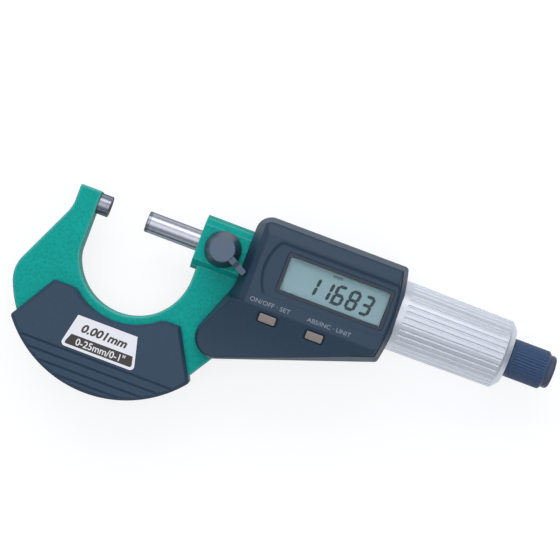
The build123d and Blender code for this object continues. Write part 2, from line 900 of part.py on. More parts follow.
# Feed: threaded sleeve in the casting, its nut, and the spindle
def inner_sleeve():
    right = carrier_left + sleeve_length
    flange_right = carrier_left + carrier_length
    flange_left = flange_right - sleeve_flange_length
    nut_zone = right - nut_zone_length
    thread_bore = thread_radius + running_clearance
    sleeve = turned((carrier_left, sleeve_bore_radius), (nut_zone, sleeve_bore_radius),
                    (nut_zone, thread_bore), (right, thread_bore), (right, sleeve_radius),
                    (flange_right, sleeve_radius), (flange_right, sleeve_flange_radius),
                    (flange_left, sleeve_flange_radius), (flange_left, sleeve_radius),
                    (carrier_left, sleeve_radius))
    for turn in (0, 120, 240):
        sleeve -= Rot(turn, 0, 0) * block(right - nut_zone_length, right + 1, 0, sleeve_radius * 2,
                                          -slit_width / 2, slit_width / 2)
    return sleeve


def adjusting_nut():
    right = carrier_left + sleeve_length - nut_inset
    nut = tube(right - nut_length, right, nut_radius, sleeve_radius)
    for turn in (0, 90):
        nut -= Rot(turn, 0, 0) * Pos(right, 0, 0) * Box(
            nut_slot_depth * 2, nut_radius * 3, nut_slot_width)
    return nut


def spindle():
    left = reading + tip_length
    thread_right = spindle_plain_end + thread_length
    body = turned((left, 0), (spindle_end, 0), (spindle_end, spindle_seat_radius),
                  (thread_right, spindle_seat_radius), (thread_right, thread_radius),
                  (spindle_plain_end, thread_radius), (spindle_plain_end, face_radius),
                  (left, face_radius))
    keyway_left = rotor_left() - (measuring_range - reading) - keyway_room
    body -= block(keyway_left, spindle_plain_end - free_clearance, -key_width / 2 - running_clearance,
                  key_width / 2 + running_clearance, face_radius - keyway_depth, face_radius + 1)
    return body - rod(spindle_end - stem_screw_depth, spindle_end + 1, stem_screw_radius)


def thimble_collar():
    right = spindle_end
    left = right - collar_length
    return turned((left, spindle_seat_radius), (right, spindle_seat_radius), (right, collar_radius),
                  (left, collar_radius + collar_taper))


# Thimble: drum with straight flutes, hung on the spindle's rear end by its collar
def thimble():
    wall_left = thimble_right - thimble_end_wall
    collar_left = spindle_end - collar_length
    rim_left = thimble_right - thimble_rim
    drum = turned(
        (thimble_left, thimble_bore_radius), (wall_left, thimble_bore_radius),
        (wall_left, collar_radius + collar_taper), (collar_left, collar_radius + collar_taper),
        (spindle_end, collar_radius), (thimble_right, collar_radius),
        (thimble_right, thimble_end_radius - thimble_rim),
        (rim_left + thimble_rim_edge, thimble_end_radius - thimble_rim_edge / 2),
        (rim_left, thimble_end_radius), (housing_right, thimble_radius), (thimble_left, thimble_radius))
    fall = degrees(atan((thimble_radius - thimble_end_radius) / (rim_left - housing_right)))
    middle = (flute_left + flute_right) / 2
    radius = (thimble_radius + thimble_end_radius) / 2
    flute = Pos(middle, 0, radius + flute_radius - flute_depth) * Rot(0, fall, 0) * Rot(
        0, 90, 0) * Cylinder(flute_radius, flute_right - flute_left)
    return drum - [Rot(360 / flute_count * i, 0, 0) * flute for i in range(flute_count)]


# Ratchet: saw-toothed stem, sprung toothed ring keyed in the knob, knob and end cap
def ratchet_stem():
    face = spindle_end + stem_flange_length
    shaft_end = knob_left + knob_length - stem_end_inset
    screw_end = spindle_end - stem_screw_depth + stem_screw_room
    stem = turned((screw_end, 0), (shaft_end, 0), (shaft_end, stem_radius), (face, stem_radius),
                  (face, stem_flange_radius), (spindle_end, stem_flange_radius),
                  (spindle_end, stem_screw_radius), (screw_end, stem_screw_radius))
    pitch = 2 * pi * stem_flange_radius / tooth_count
    ramp = make_face(Polyline((face + 1, 0), (face + 1, pitch), (face, pitch), (face - tooth_height, 0),
                              close=True))
    ramp = Pos(0, 0, tooth_root_radius) * extrude(ramp, stem_flange_radius)
    stem -= [Rot(360 / tooth_count * i, 0, 0) * ramp for i in range(tooth_count)]
    return stem - tube(*clip_limits(), stem_radius + 1, stem_radius - clip_seat)


def clip_limits():
    left = knob_left + knob_length - knob_recess_depth + fit_clearance
    return left, left + clip_thickness


def ratchet_clip():
    """Open spring ring in the stem's groove."""
    clip = tube(*clip_limits(), stem_radius + clip_rim, stem_radius - clip_seat)
    return clip - block(*clip_limits(), -clip_rim, clip_rim, 0, stem_radius * 2)


def lug(left, right, grow=0.0):
    """Pair of keys on the ring, or their slots in the knob where grow is given."""
    reach = stem_flange_radius + ring_lug_height + grow
    half = ring_lug_width / 2 + grow
    return block(left, right, -reach, reach, -half, half)


def ring_right():
    return spindle_end + stem_flange_length + ring_length


def ratchet_ring():
    left = spindle_end + stem_flange_length - tooth_height
    bore = stem_radius + free_clearance
    ring = tube(left, ring_right(), stem_flange_radius, bore)
    body_left = left + tooth_height * 2
    ring += lug(body_left, ring_right()) - rod(body_left - 1, ring_right() + 1, stem_radius * 2)
    mesh_room = Pos(running_clearance, 0, 0) * ratchet_stem()
    return ring - mesh_room - rod(left - 1, ring_right() + 1, bore)


def ratchet_spring():
    left = ring_right() + spring_wire_radius
    right = knob_inner_end() - spring_wire_radius
    height = right - left
    path = Helix(height / spring_turns, height, spring_coil_radius)
    side = spring_wire_radius * 2
    section = Plane(path @ 0, x_dir=(1, 0, 0), z_dir=path % 0) * Rectangle(side, side)
    coil = sweep(section, path, is_frenet=True)
    return Pos(left, 0, 0) * Rot(0, 90, 0) * coil


def knob_inner_end():
    return knob_left + knob_length - knob_recess_depth - knob_end_wall


def ratchet_knob():
    right = knob_left + knob_length
    inner = knob_inner_end()
    recess = right - knob_recess_depth
    bore = stem_flange_radius + fit_clearance
    knob = turned((knob_left, bore), (inner, bore), (inner, stem_radius + fit_clearance),
                  (recess, stem_radius + fit_clearance), (recess, knob_recess_radius),
                  (right, knob_recess_radius), (right, knob_radius - knob_edge),
                  (right - knob_edge, knob_radius), (knob_left + knob_edge / 2, knob_radius),
                  (knob_left, knob_radius - knob_edge / 2))
    knob -= lug(spindle_end + stem_flange_length, inner, fit_clearance)
    groove = Pos((knob_left + right) / 2, 0, knob_radius) * Rot(45, 0, 0) * Box(
        knob_length - knob_groove_inset * 2, knob_groove_depth * sqrt(2), knob_groove_depth * sqrt(2))
    return knob - [Rot(360 / knob_groove_count * i, 0, 0) * groove for i in range(knob_groove_count)]


def ratchet_cap():
    seat = knob_left + knob_length
    skirt = seat - knob_recess_depth / 2
    outer = knob_recess_radius
    bore, floor = stem_radius + cap_skirt_room, seat + shell_clearance
    profile = make_face(Polyline((skirt, bore), (skirt, outer), (seat, outer), (seat, cap_radius),
                                 (seat + cap_length, cap_radius), (seat + cap_length, 0), (floor, 0),
                                 (floor, bore), close=True))
    cap = revolve(profile, Axis.X)
    return fillet(cap.edges().filter_by(GeomType.CIRCLE).sort_by(Axis.X)[-1], cap_rounding)


nodes = {
    "frame": frame,
    "anvil": anvil,
    "anvil_tip": lambda: tip(-tip_length, 1),
    "spindle_bush": spindle_bush,
    "grip_front": grip_front,
    "grip_rear": grip_rear,
    "grip_screws": grip_screws,
    "range_label": range_label,
    "lock_lever": lock_lever,
    "lock_stud": lock_stud,
    "lock_pad": lock_pad,
    "housing_front": housing_front,
    "housing_rear": housing_rear,
    "housing_screws": housing_screws,
    "display_window": display_window,
    "lcd_panel": lcd_panel,
    "zebra_strip": zebra_strip,
    "circuit_board": circuit_board,
    "board_chips": board_chips,
    "tact_switches": tact_switches,
    "button_power_set": lambda: button(button_places[0]),
    "button_mode_unit": lambda: button(button_places[1]),
    "stator_board": stator_board,
    "rotor_disc": rotor_disc,
    "rotor_hub": rotor_hub,
    "drive_key": drive_key,
    "battery": battery,
    "battery_contact_plus": battery_contact_plus,
    "battery_contact_minus": battery_contact_minus,
    "battery_cap": battery_cap,
    "battery_seal": battery_seal,
    "inner_sleeve": inner_sleeve,
    "adjusting_nut": adjusting_nut,
    "spindle": spindle,
    "spindle_tip": lambda: tip(reading, -1),
    "thimble": thimble,
    "thimble_collar": thimble_collar,
    "ratchet_stem": ratchet_stem,
    "ratchet_ring": ratchet_ring,
    "ratchet_spring": ratchet_spring,
    "ratchet_knob": ratchet_knob,
    "ratchet_cap": ratchet_cap,
    "ratchet_clip": ratchet_clip,
}

os.makedirs("parts", exist_ok=True)
for name, make in nodes.items():
    export_step(make(), f"parts/{name}.step")
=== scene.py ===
import math
import bpy
from mathutils import Matrix, Vector


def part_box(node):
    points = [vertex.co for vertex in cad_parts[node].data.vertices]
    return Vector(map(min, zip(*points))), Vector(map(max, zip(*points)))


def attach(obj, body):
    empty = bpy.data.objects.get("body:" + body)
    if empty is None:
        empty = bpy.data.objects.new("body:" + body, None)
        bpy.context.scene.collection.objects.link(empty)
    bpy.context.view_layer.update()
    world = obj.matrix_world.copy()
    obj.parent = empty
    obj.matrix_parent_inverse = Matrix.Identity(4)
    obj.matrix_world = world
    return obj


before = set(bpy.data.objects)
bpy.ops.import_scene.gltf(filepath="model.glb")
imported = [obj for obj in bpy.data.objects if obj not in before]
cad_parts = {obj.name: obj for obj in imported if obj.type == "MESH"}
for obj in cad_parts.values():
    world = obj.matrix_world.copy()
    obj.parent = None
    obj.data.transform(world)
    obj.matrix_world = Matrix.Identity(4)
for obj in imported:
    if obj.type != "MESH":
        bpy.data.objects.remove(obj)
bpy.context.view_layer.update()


# Table, light and camera
# The instrument lies on its back on a plain pale table. A large soft lamp hangs overhead, a second one
# stands beyond the display's upper side, and a low weak one fills in from the opposite side. The camera
# looks straight down, turned so that the measuring axis falls to the right.
MM = 0.001


def tint(red, green, blue):
    """A colour written as it shows on a screen, 0 to 255, as the linear colour that a shader takes."""
    shown = (red / 255, green / 255, blue / 255)
    return tuple(c / 12.92 if c <= 0.04045 else ((c + 0.055) / 1.055) ** 2.4 for c in shown) + (1.0,)


def feed(tree, sockets, sources):
    """Wires a source into each named socket, or sets the socket where the source is a plain value."""
    for socket, source in sources.items():
        if isinstance(source, bpy.types.NodeSocket):
            tree.links.new(source, sockets[socket])
        else:
            sockets[socket].default_value = source


def put(tree, kind, wires=None, **settings):
    """Adds a node, with its properties given and its sockets wired or set."""
    node = tree.nodes.new(kind)
    for name, value in settings.items():
        setattr(node, name, value)
    feed(tree, node.inputs, wires or {})
    return node


def maths(tree, operation, *numbers, use_clamp=False):
    """What one sum gives from its numbers or sockets."""
    sources = dict(enumerate(numbers))
    return put(tree, "ShaderNodeMath", sources, operation=operation, use_clamp=use_clamp).outputs[0]


def ramp(tree, mask, low, high, start=0.0, end=1.0):
    """A number that goes from low to high while a mask goes from start to end."""
    return put(tree, "ShaderNodeMapRange", {0: mask, 1: start, 2: end, 3: low, 4: high}).outputs[0]


table_size = 3.0
table_height = -13 * MM
bpy.ops.mesh.primitive_plane_add(size=table_size, location=(55 * MM, 0, table_height))
table = bpy.context.object
table.name = "table"
table_white = bpy.data.materials.new("table_white")
table_white.use_nodes = True
tree = table_white.node_tree
tree.nodes.clear()
seen = put(tree, "ShaderNodeLightPath").outputs
seen_or_mirrored = maths(tree, "MAXIMUM", seen["Is Camera Ray"], seen["Is Glossy Ray"])
seen_at_all = maths(tree, "MAXIMUM", seen_or_mirrored, seen["Is Transmission Ray"])
glow_share = 0.80
cloth = put(tree, "ShaderNodeBsdfDiffuse", {"Color": tint(140, 142, 147)})
glow = put(tree, "ShaderNodeEmission", {
    "Color": (1, 1, 1, 1),
    "Strength": maths(tree, "MULTIPLY", seen_at_all, glow_share),
})
both = put(tree, "ShaderNodeAddShader", {0: cloth.outputs[0], 1: glow.outputs[0]})
put(tree, "ShaderNodeOutputMaterial", {"Surface": both.outputs[0]})
table.data.materials.append(table_white)

room = bpy.data.worlds.new("room")
bpy.context.scene.world = room
room.use_nodes = True
tree = room.node_tree
tree.nodes.clear()
brightest_side = (-0.16, 0.42, 0.9)
dim_sky, bright_sky = 0.175, 0.70
heading = put(tree, "ShaderNodeTexCoord").outputs["Generated"]
facing = put(tree, "ShaderNodeVectorMath", {0: heading, 1: brightest_side}, operation="DOT_PRODUCT")
sky = put(tree, "ShaderNodeBackground", {
    "Color": tint(246, 249, 255),
    "Strength": ramp(tree, facing.outputs["Value"], dim_sky, bright_sky),
})
put(tree, "ShaderNodeOutputWorld", {"Surface": sky.outputs[0]})


def lamp(name, place, size, power, colour):
    """A soft rectangular lamp that faces the instrument's middle."""
    light = bpy.data.lights.new(name, "AREA")
    light.shape = "RECTANGLE"
    light.size, light.size_y = size
    light.energy = power
    light.color = colour
    holder = bpy.data.objects.new(name, light)
    bpy.context.scene.collection.objects.link(holder)
    holder.location = place
    middle = Vector((55 * MM, -5 * MM, 0))
    holder.rotation_euler = (middle - Vector(place)).to_track_quat("-Z", "Y").to_euler()


lamp("overhead", place=(0.06, -0.06, 0.85), size=(0.6, 0.6), power=1.31, colour=(1.0, 0.995, 0.98))
lamp("side", place=(-0.102, 0.412, 0.40), size=(0.6, 0.3), power=1.41, colour=(1.0, 0.99, 0.97))
lamp("fill", place=(0.231, -0.473, 0.224), size=(0.6, 0.16), power=0.34, colour=(0.96, 0.98, 1.0))

camera_height = 600 * MM
picture_width = 167.2 * MM
axis_fall = 20.6
view = bpy.data.cameras.new("view")
view.sensor_width = 36
view.lens = view.sensor_width * camera_height / picture_width
view.clip_start = 10 * MM
view.dof.use_dof = False
camera = bpy.data.objects.new("view", view)
bpy.context.scene.collection.objects.link(camera)
camera.location = (54.9 * MM, -2.5 * MM, camera_height)
camera.rotation_euler = (0, 0, math.radians(axis_fall))
bpy.context.scene.camera = camera
bpy.context.scene.view_settings.view_transform = "Standard"


# Frame
# A C-shaped iron casting with its anvil arm, spindle boss and the tail that carries the display unit.
# It is enamelled with a fine hammered skin, and the flat front of the boss is milled before painting.
def effect(name, inputs, outputs):
    """A shared shader group with named inputs and outputs, and the sockets of its two end nodes."""
    group = bpy.data.node_groups.new(name, "ShaderNodeTree")
    for socket, kind, value in inputs:
        made = group.interface.new_socket(name=socket, in_out="INPUT", socket_type=kind)
        if value is not None:
            made.default_value = value
    for socket, kind in outputs:
        group.interface.new_socket(name=socket, in_out="OUTPUT", socket_type=kind)
    return group, put(group, "NodeGroupInput").outputs, put(group, "NodeGroupOutput").inputs


number, vector = "NodeSocketFloat", "NodeSocketVector"

edges, given, gives = effect("rounded_edges", [("Radius", number, 0.3 * MM), ("Contrast", number, 3.0)],
                             [("Normal", vector), ("Edge", number)])
rolled = put(edges, "ShaderNodeBevel", {"Radius": given["Radius"]}, samples=4).outputs[0]
flat = put(edges, "ShaderNodeNewGeometry").outputs["Normal"]
agree = put(edges, "ShaderNodeVectorMath", {0: rolled, 1: flat}, operation="DOT_PRODUCT").outputs["Value"]
differ = maths(edges, "SUBTRACT", 1.0, agree)
feed(edges, gives, {
    "Normal": rolled,
    "Edge": maths(edges, "MULTIPLY", differ, given["Contrast"], use_clamp=True),
})

patch_share = 0.16
skin, given, gives = effect("cast_skin", [("Place", vector, None), ("Grain", number, 0.6 * MM)],
                            [("Height", number), ("Patches", number)])
per_metre = maths(skin, "DIVIDE", 1.0, given["Grain"])
grains = {"Vector": given["Place"], "Scale": per_metre}
dimples = put(skin, "ShaderNodeTexVoronoi", grains, feature="SMOOTH_F1").outputs["Distance"]
flow = put(skin, "ShaderNodeTexNoise", {**grains, "Detail": 3.0}).outputs["Fac"]
broad = maths(skin, "MULTIPLY", per_metre, patch_share)
patches = put(skin, "ShaderNodeTexNoise", {"Vector": given["Place"], "Scale": broad, "Detail": 2.0})
feed(skin, gives, {"Height": maths(skin, "ADD", dimples, flow), "Patches": patches.outputs["Fac"]})


def new_finish(name):
    """A material with its shader, and the place on the piece that its patterns read."""
    finish = bpy.data.materials.new(name)
    finish.use_nodes = True
    tree = finish.node_tree
    place = put(tree, "ShaderNodeTexCoord").outputs["Object"]
    return finish, tree, tree.nodes["Principled BSDF"], place


def group_node(tree, group, **sources):
    """One of the shared groups, placed in a material with this material's own values."""
    return put(tree, "ShaderNodeGroup", sources, node_tree=group).outputs


def between(tree, share, low, high):
    """A colour that runs from one to another with a mask."""
    mix = put(tree, "ShaderNodeMix", {"Factor": share}, data_type="RGBA")
    feed(tree, {socket.identifier: socket for socket in mix.inputs}, {"A_Color": low, "B_Color": high})
    return next(socket for socket in mix.outputs if socket.identifier == "Result_Color")


def relief(tree, strength, distance, height, **edge_normal):
    """The surface's direction over a pattern of small heights, on rounded edges where they are given."""
    sources = {"Height": height, "Strength": strength, "Distance": distance, **edge_normal}
    return put(tree, "ShaderNodeBump", sources).outputs[0]


def dress(finish, *names):
    """Gives CAD nodes their finish."""
    for name in names:
        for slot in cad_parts[name].material_slots:
            slot.material = finish


# The casting is 9 mm thick. A pale line is painted along its rounding as a painted highlight, and its sharp
# edges are painted pale, partly as wear and partly as painted highlight.
half_casting = 4.5 * MM
rim_wear_and_highlight = tint(126, 202, 194)
enamel, tree, shader, place = new_finish("hammered_enamel")
soft = group_node(tree, edges, Radius=0.5 * MM, Contrast=16.0)
cast = group_node(tree, skin, Place=place, Grain=0.75 * MM)
green = between(tree, cast["Patches"], tint(0, 142, 134), tint(0, 160, 149))
grain = ramp(tree, cast["Height"], 0.0, 0.36, start=0.45, end=1.05)
speckled = between(tree, grain, green, tint(24, 192, 181))
# Painted highlight: a pale band on the casting's rounding, placed by the distance from its middle plane.
from_middle = maths(tree, "ABSOLUTE", put(tree, "ShaderNodeSeparateXYZ", {0: place}).outputs["Z"])
onto_rounding = ramp(tree, from_middle, 0.0, 0.5, start=half_casting - 0.8 * MM, end=half_casting - 0.3 * MM)
off_rounding = ramp(tree, from_middle, 1.0, 0.0, start=half_casting - 0.2 * MM, end=half_casting - 0.02 * MM)
rounded = between(tree, maths(tree, "MULTIPLY", onto_rounding, off_rounding), speckled, rim_wear_and_highlight)
feed(tree, shader.inputs, {
    # The sharp edges are painted pale: partly wear, partly painted highlight.
    "Base Color": between(tree, ramp(tree, soft["Edge"], 0.0, 0.6), rounded, rim_wear_and_highlight),
    "Roughness": ramp(tree, cast["Patches"], 0.44, 0.58),
    "Normal": relief(tree, 0.5, 0.2 * MM, cast["Height"], Normal=soft["Normal"]),
    "Specular IOR Level": 0.12,
})
dress(enamel, "frame")


# Anvil, spindle and their guides
# Ground steel pins faced with carbide. The anvil is pressed into the arm, the spindle turns in a brass bush
# in the boss, and its rear thread runs in a split steel sleeve with a brass adjusting nut.
lines, given, gives = effect("turning_lines", [("Place", vector, None), ("Pitch", number, 0.12 * MM)],
                             [("Height", number), ("Streaks", number)])
on_axis = put(lines, "ShaderNodeSeparateXYZ", {0: given["Place"]}).outputs["X"]
along = maths(lines, "DIVIDE", on_axis, given["Pitch"])
band_share = 0.11
slow = maths(lines, "MULTIPLY", along, band_share)
rings, bands = (put(lines, "ShaderNodeTexNoise", {"W": run, "Scale": 1.0, "Detail": detail},
                    noise_dimensions="1D").outputs["Fac"] for run, detail in ((along, 2.0), (slow, 1.0)))
streaks = maths(lines, "MULTIPLY", rings, bands)
feed(lines, gives, {"Height": rings, "Streaks": maths(lines, "MULTIPLY", streaks, 2.0, use_clamp=True)})


def turned_metal(name, dark, light, edge_tint, roughness, pitch, depth, rim=tint(255, 255, 255)):
    """Metal with the fine rings that grinding or turning about the measuring axis leaves."""
    finish, tree, shader, place = new_finish(name)
    soft = group_node(tree, edges, Radius=0.15 * MM, Contrast=2.0)
    turned = group_node(tree, lines, Place=place, Pitch=pitch)
    body = between(tree, turned["Streaks"], dark, light)
    feed(tree, shader.inputs, {
        "Base Color": between(tree, soft["Edge"], body, edge_tint),
        "Roughness": ramp(tree, turned["Streaks"], *roughness),
        "Normal": relief(tree, depth, 0.01 * MM, turned["Height"], Normal=soft["Normal"]),
        "Metallic": 1.0,
        "Specular Tint": rim,
    })
    return finish


ground_steel = turned_metal("ground_steel", tint(170, 172, 183), tint(182, 184, 195), tint(194, 196, 206),
                            roughness=(0.27, 0.32), pitch=0.11 * MM, depth=0.03, rim=tint(70, 72, 80))
lapped_carbide = turned_metal("lapped_carbide", tint(132, 136, 147), tint(144, 148, 159), tint(140, 146, 156),
                              roughness=(0.24, 0.30), pitch=0.05 * MM, depth=0.04, rim=tint(60, 62, 70))
# The anvil's steel is the ground steel painted darker, as painted shade.
shaded_anvil_steel = turned_metal("shaded_anvil_steel", tint(134, 139, 150), tint(146, 151, 162), tint(152, 158, 168),
                           roughness=(0.27, 0.32), pitch=0.11 * MM, depth=0.03, rim=tint(60, 62, 70))
brass = turned_metal("turned_brass", tint(176, 142, 78), tint(200, 168, 98), tint(226, 200, 140),
                     roughness=(0.24, 0.36), pitch=0.2 * MM, depth=0.12)
dress(ground_steel, "spindle", "inner_sleeve")
dress(shaded_anvil_steel, "anvil")
dress(lapped_carbide, "anvil_tip", "spindle_tip")
dress(brass, "spindle_bush", "adjusting_nut")


# Grip plates
# Two insulating plates, moulded in glass-filled plastic with finger grooves, keep the hand's warmth off the
# casting. Two screws through the bow hold them against each other.
def moulded_plastic(name, low, high, edge_tint, grain, roughness, depth, edge_radius, painted_lit_top=None):
    """A moulded plastic with a fine spark-eroded grain, tinted edges and perhaps a top painted lighter as
    painted light.
    """
    finish, tree, shader, place = new_finish(name)
    soft = group_node(tree, edges, Radius=edge_radius, Contrast=3.5)
    fine = group_node(tree, skin, Place=place, Grain=grain)
    body = between(tree, fine["Patches"], low, high)
    # Edges take their own tint: lighter as rubbed wear on most pieces, darker as painted shade on the grip
    # plates and housing.
    colour = between(tree, ramp(tree, soft["Edge"], 0.0, 0.55), body, edge_tint)
    # Painted light: the top is painted lighter than the flanks, as where light falls on it.
    if painted_lit_top:
        top, lit_top_tint = painted_lit_top
        level = put(tree, "ShaderNodeSeparateXYZ", {0: place}).outputs["Z"]
        colour = between(tree, ramp(tree, level, 0.0, 0.9, start=top - 0.8 * MM, end=top), colour, lit_top_tint)
    feed(tree, shader.inputs, {
        "Base Color": colour,
        "Roughness": ramp(tree, fine["Patches"], *roughness),
        "Normal": relief(tree, depth, 0.03 * MM, fine["Height"], Normal=soft["Normal"]),
        "Specular IOR Level": 0.35,
    })
    return finish


# The plates' edges are painted dark, as painted shade along their chamfers.
grip_plastic = moulded_plastic("grip_plastic", tint(38, 64, 88), tint(48, 72, 96), tint(18, 32, 48),
                               grain=0.22 * MM, roughness=(0.42, 0.54), depth=0.25, edge_radius=0.5 * MM)
bright_steel = turned_metal("bright_steel", tint(170, 172, 180), tint(196, 198, 206), tint(225, 226, 232),
                            roughness=(0.22, 0.34), pitch=0.2 * MM, depth=0.12)
dress(grip_plastic, "grip_front", "grip_rear")
dress(bright_steel, "grip_screws")


# Range label
# A thin white plate, cemented in the front grip plate's pocket. Its lower band is printed black with the
# measuring range left white, and the resolution stands above it in leaning letters.
def printed_finish(name, low, high, roughness):
    """Printing ink or film, with a faint unevenness of its own."""
    finish, tree, shader, place = new_finish(name)
    fine = group_node(tree, skin, Place=place, Grain=0.12 * MM)
    feed(tree, shader.inputs, {
        "Base Color": between(tree, fine["Patches"], low, high),
        "Roughness": ramp(tree, fine["Patches"], *roughness),
        "Normal": relief(tree, 0.1, 0.01 * MM, fine["Height"]),
    })
    return finish


def enter(piece):
    """Takes one piece into edit mode with all of its vertices selected."""
    bpy.ops.object.select_all(action="DESELECT")
    piece.select_set(True)
    bpy.context.view_layer.objects.active = piece
    bpy.ops.object.mode_set(mode="EDIT")
    bpy.ops.mesh.select_mode(type="VERT")
    bpy.ops.mesh.select_all(action="SELECT")


def settle(piece, name, finish, body):
    """Closes a new piece's seams, turns its faces outwards, and gives it its name, finish and body."""
    enter(piece)
    bpy.ops.mesh.remove_doubles(threshold=1e-7)
    bpy.ops.mesh.normals_make_consistent(inside=False)
    bpy.ops.object.mode_set(mode="OBJECT")
    piece.name = name
    piece.data.materials.clear()
    piece.data.materials.append(finish)
    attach(piece, body)
    return piece


def words(name, text, box, height, thickness, finish, body, lean=0.0, heavy=0.0):
    """Printed words that fill a box of the front, as thin solid letters standing on a given height."""
    bpy.ops.object.select_all(action="DESELECT")
    bpy.ops.object.text_add()
    piece = bpy.context.object
    piece.data.body = text
    # The letters are one unit thick at first, so that their thickness is a plain scale.
    piece.data.extrude = 0.5
    piece.data.offset = heavy
    piece.data.resolution_u = 3
    bpy.ops.object.convert(target="MESH")
    piece = bpy.context.object
    if lean:
        piece.data.transform(Matrix.Shear("XZ", 4, (lean, 0.0)))
    low = Vector([min(v.co[i] for v in piece.data.vertices) for i in range(3)])
    high = Vector([max(v.co[i] for v in piece.data.vertices) for i in range(3)])
    left, bottom, right, top = (edge * MM for edge in box)
    wider, taller = (right - left) / (high.x - low.x), (top - bottom) / (high.y - low.y)
    to_corner = Matrix.Translation((-low.x, -low.y, 0))
    into_place = Matrix.Translation((left, bottom, height + thickness / 2))
    piece.data.transform(into_place @ Matrix.Diagonal((wider, taller, thickness, 1)) @ to_corner)
    return settle(piece, name, finish, body)


def slab(name, outline, bottom, top, finish, body, rounding=0.0, rounded_corners=()):
    """A thin plate with a given outline in millimetres, and with some of its corners rounded."""
    bpy.ops.object.select_all(action="DESELECT")
    bpy.ops.mesh.primitive_circle_add(vertices=len(outline), radius=1, fill_type="NGON")
    piece = bpy.context.object
    for vertex, (x, y) in zip(piece.data.vertices, outline):
        vertex.co = (x * MM, y * MM, bottom)
    enter(piece)
    if rounded_corners:
        bpy.ops.mesh.select_all(action="DESELECT")
        bpy.ops.object.mode_set(mode="OBJECT")
        for corner in rounded_corners:
            piece.data.vertices[corner].select = True
        bpy.ops.object.mode_set(mode="EDIT")
        bpy.ops.mesh.bevel(offset=rounding, segments=6, affect="VERTICES")
        bpy.ops.mesh.select_all(action="SELECT")
    bpy.ops.mesh.extrude_region_move(TRANSFORM_OT_translate={"value": (0, 0, top - bottom)})
    bpy.ops.object.mode_set(mode="OBJECT")
    return settle(piece, name, finish, body)


# The prints reach a little under the surface that they lie on, and the range's letters stand on the band.
print_sink, print_rise = 0.005 * MM, 0.02 * MM
label_foot, label_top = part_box("range_label")[0].y / MM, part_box("range_label")[1].z
band_foot, band_head, band_corner = label_foot + 0.8, label_foot + 4.05, 0.8 * MM
band_outline = [(2.9, band_head), (1.55, band_foot), (22.95, band_foot), (22.2, band_head)]
range_box, range_thickness = (4.9, label_foot + 1.3, 20.2, label_foot + 3.5), 0.015 * MM
resolution_box = (5.2, label_foot + 5.4, 19.4, label_foot + 8.1)
label_white = printed_finish("label_white", tint(238, 239, 248), tint(246, 247, 252), roughness=(0.30, 0.40))
label_black = printed_finish("label_black", tint(42, 34, 34), tint(50, 42, 42), roughness=(0.32, 0.42))
dress(label_white, "range_label")
slab("label_band", band_outline, label_top - print_sink, label_top + print_rise,
     label_black, "body", rounding=band_corner, rounded_corners=(1, 2))
words("label_range", "0-25mm/0-1\"", range_box, label_top + print_rise, range_thickness,
      label_white, "body", heavy=0.012)
words("label_resolution", "0.001mm", resolution_box, label_top - print_sink, print_sink + print_rise,
      label_black, "body", lean=0.22, heavy=0.035)


# Spindle lock
# A moulded knob with a short lever, on a threaded steel stud that presses a brass pad on the spindle. The
# stud is moulded into the knob, and its thread in the boss holds it.
# The knob's top is painted lighter than its flanks, as painted light falling on the top.
lever_plastic = moulded_plastic("lever_plastic", tint(42, 58, 80), tint(50, 66, 88), tint(88, 104, 124),
                                grain=0.30 * MM, roughness=(0.36, 0.48), depth=0.2, edge_radius=0.3 * MM,
                                painted_lit_top=(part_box("lock_lever")[1].z, tint(92, 109, 130)))
dress(lever_plastic, "lock_lever")
dress(bright_steel, "lock_stud")
dress(brass, "lock_pad")


# Encoder
# Two glass-fibre discs with etched coils read the spindle's turns: one stands in the housing, the other sits
# on a brass hub whose key runs in the spindle's long keyway.
weave_pitch = 0.4 * MM
board_green, tree, shader, place = new_finish("board_laminate")
mottle = group_node(tree, skin, Place=place, Grain=0.5 * MM)
weave = put(tree, "ShaderNodeTexChecker", {
    "Vector": place,
    "Color1": tint(20, 92, 52),
    "Color2": tint(26, 104, 60),
    "Scale": 1 / weave_pitch,
})
clouded = ramp(tree, mottle["Patches"], 0.0, 0.5)
feed(tree, shader.inputs, {
    "Base Color": between(tree, clouded, weave.outputs["Color"], tint(16, 76, 44)),
    "Roughness": ramp(tree, mottle["Patches"], 0.28, 0.42),
})
dress(board_green, "stator_board", "rotor_disc")
dress(brass, "rotor_hub")
dress(ground_steel, "drive_key")


# Display housing
# Two moulded shells meet in the plane of the measuring axis and close round the frame's tail. The front
# shell has the raised face with the recessed display panel; four screws pull the rear shell up to it.
# The shells' edges are painted darker, as painted shade along their rounding.
housing_plastic = moulded_plastic("housing_plastic", tint(36, 60, 82), tint(44, 68, 90), tint(26, 44, 66),
                                  grain=0.20 * MM, roughness=(0.40, 0.50), depth=0.18, edge_radius=0.6 * MM)
dress(housing_plastic, "housing_front", "housing_rear")
dress(bright_steel, "housing_screws")


# Circuit board and display glass
# A green board carries the driver chips and the two switches. A rubber strip joins it to the liquid crystal
# glass, whose dark segments stand under the clear window.
chip_black = moulded_plastic("chip_black", tint(30, 30, 33), tint(38, 38, 42), tint(70, 70, 76),
                             grain=0.10 * MM, roughness=(0.40, 0.50), depth=0.2, edge_radius=0.1 * MM)
rubber = moulded_plastic("rubber", tint(30, 30, 32), tint(40, 40, 43), tint(60, 60, 64),
                         grain=0.15 * MM, roughness=(0.62, 0.74), depth=0.25, edge_radius=0.15 * MM)
dress(board_green, "circuit_board")
dress(chip_black, "board_chips")
dress(rubber, "zebra_strip")
dress(bright_steel, "tact_switches")

